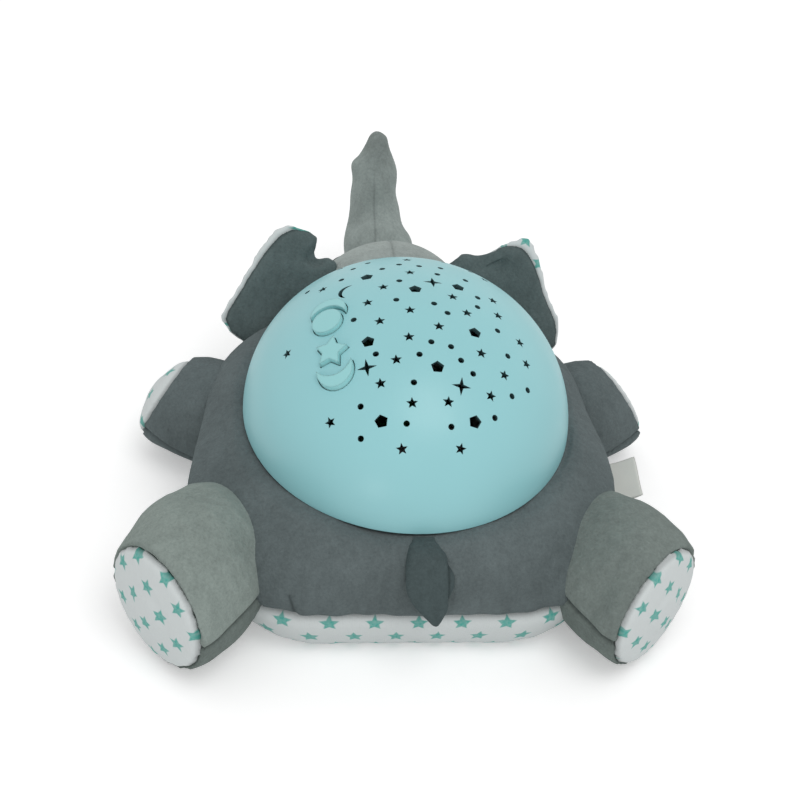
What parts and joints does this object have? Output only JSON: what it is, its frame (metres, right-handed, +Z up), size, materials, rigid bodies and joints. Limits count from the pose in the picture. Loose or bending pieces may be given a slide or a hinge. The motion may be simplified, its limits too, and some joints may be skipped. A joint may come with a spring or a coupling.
{
  "type": "plush elephant night light",
  "caption": "Stuffed elephant lying on its belly with a pierced oval plastic shell on its back that throws star and moon shapes from a battery light, with push buttons and a belly flap.",
  "frame": {"origin": "on the flat belly face, under the middle of the shell", "axes": "+Z up, +Y towards the head and trunk, +X to the animal's right side"},
  "size_m": [0.2572, 0.3167, 0.129],
  "materials": {
    "shell_abs": "satin moulded plastic, pale teal",
    "button_abs": "satin moulded plastic, pale teal",
    "tub_abs": "moulded white plastic",
    "screw_steel": "zinc plated",
    "circuit_board": "green solder mask",
    "switch_black": "moulded black",
    "led_clear": "clear epoxy",
    "speaker_steel": "plated sheet",
    "speaker_paper": "coated paper",
    "cell_wrap": "plain wrapped steel can",
    "contact_nickel": "nickel plated",
    "grey_plush": "short-pile polyester plush",
    "pale_plush": "short-pile polyester plush",
    "dark_plush": "short-pile polyester plush",
    "star_print": "smooth printed knit, small stars",
    "hook_and_loop": "woven nylon tape",
    "tag_satin": "blank satin ribbon",
    "eye_thread": "embroidery thread"
  },
  "bodies": {
    "elephant": {"dome_cover": "shell_abs", "base_tub": "tub_abs", "led_post": "tub_abs", "housing_screws": "screw_steel", "board_screws": "screw_steel", "button_board": "circuit_board", "led_board": "circuit_board", "main_board": "circuit_board", "tact_switches": "switch_black", "leds": "led_clear", "speaker_frame": "speaker_steel", "speaker_magnet": "speaker_steel", "speaker_cone": "speaker_paper", "battery_cells": "cell_wrap", "contact_plates": "contact_nickel", "contact_springs": "contact_nickel", "plush_body": "grey_plush", "trunk": "grey_plush", "tail": "grey_plush", "right_hind_leg": "grey_plush", "left_hind_leg": "grey_plush", "right_front_leg": "grey_plush", "left_front_leg": "grey_plush", "head": "pale_plush", "right_ear": "dark_plush", "left_ear": "dark_plush", "belly_panel": "star_print", "right_ear_lining": "star_print", "left_ear_lining": "star_print", "right_hind_sole": "star_print", "left_hind_sole": "star_print", "right_front_sole": "star_print", "left_front_sole": "star_print", "hook_tape": "hook_and_loop", "side_tag": "tag_satin", "right_eye": "eye_thread", "left_eye": "eye_thread"},
    "button_front_moon": {"button_front_moon": "button_abs"},
    "button_round": {"button_round": "button_abs"},
    "button_star": {"button_star": "button_abs"},
    "button_rear_moon": {"button_rear_moon": "button_abs"},
    "belly_flap": {"belly_flap": "star_print", "loop_tape": "hook_and_loop"},
    "battery_door": {"battery_door": "tub_abs", "door_screws": "screw_steel"}
  },
  "joints": [
    {"name": "button_front_moon_press", "type": "slide", "parent": "elephant", "child": "button_front_moon", "axis": [0.4384, 0, -0.8988], "range_m": [0, 0.0012], "stiffness_N_per_m": 900},
    {"name": "button_round_press", "type": "slide", "parent": "elephant", "child": "button_round", "axis": [0.4384, 0, -0.8988], "range_m": [0, 0.0012], "stiffness_N_per_m": 900},
    {"name": "button_star_press", "type": "slide", "parent": "elephant", "child": "button_star", "axis": [0.4384, 0, -0.8988], "range_m": [0, 0.0012], "stiffness_N_per_m": 900},
    {"name": "button_rear_moon_press", "type": "slide", "parent": "elephant", "child": "button_rear_moon", "axis": [0.4384, 0, -0.8988], "range_m": [0, 0.0012], "stiffness_N_per_m": 900},
    {"name": "flap_hinge", "type": "hinge", "parent": "elephant", "child": "belly_flap", "pos_m": [-0.048, -0.0295, 0.0009], "axis": [0, 1, 0], "range_deg": [0, 110]},
    {"name": "door_lift_off", "type": "slide", "parent": "elephant", "child": "battery_door", "axis": [0, 0, -1], "range_m": [0, 0.0301]}
  ],
  "couplings": [
    {"joint": "door_lift_off", "follows": "flap_hinge", "m_per_rad": 0.015626}
  ]
}
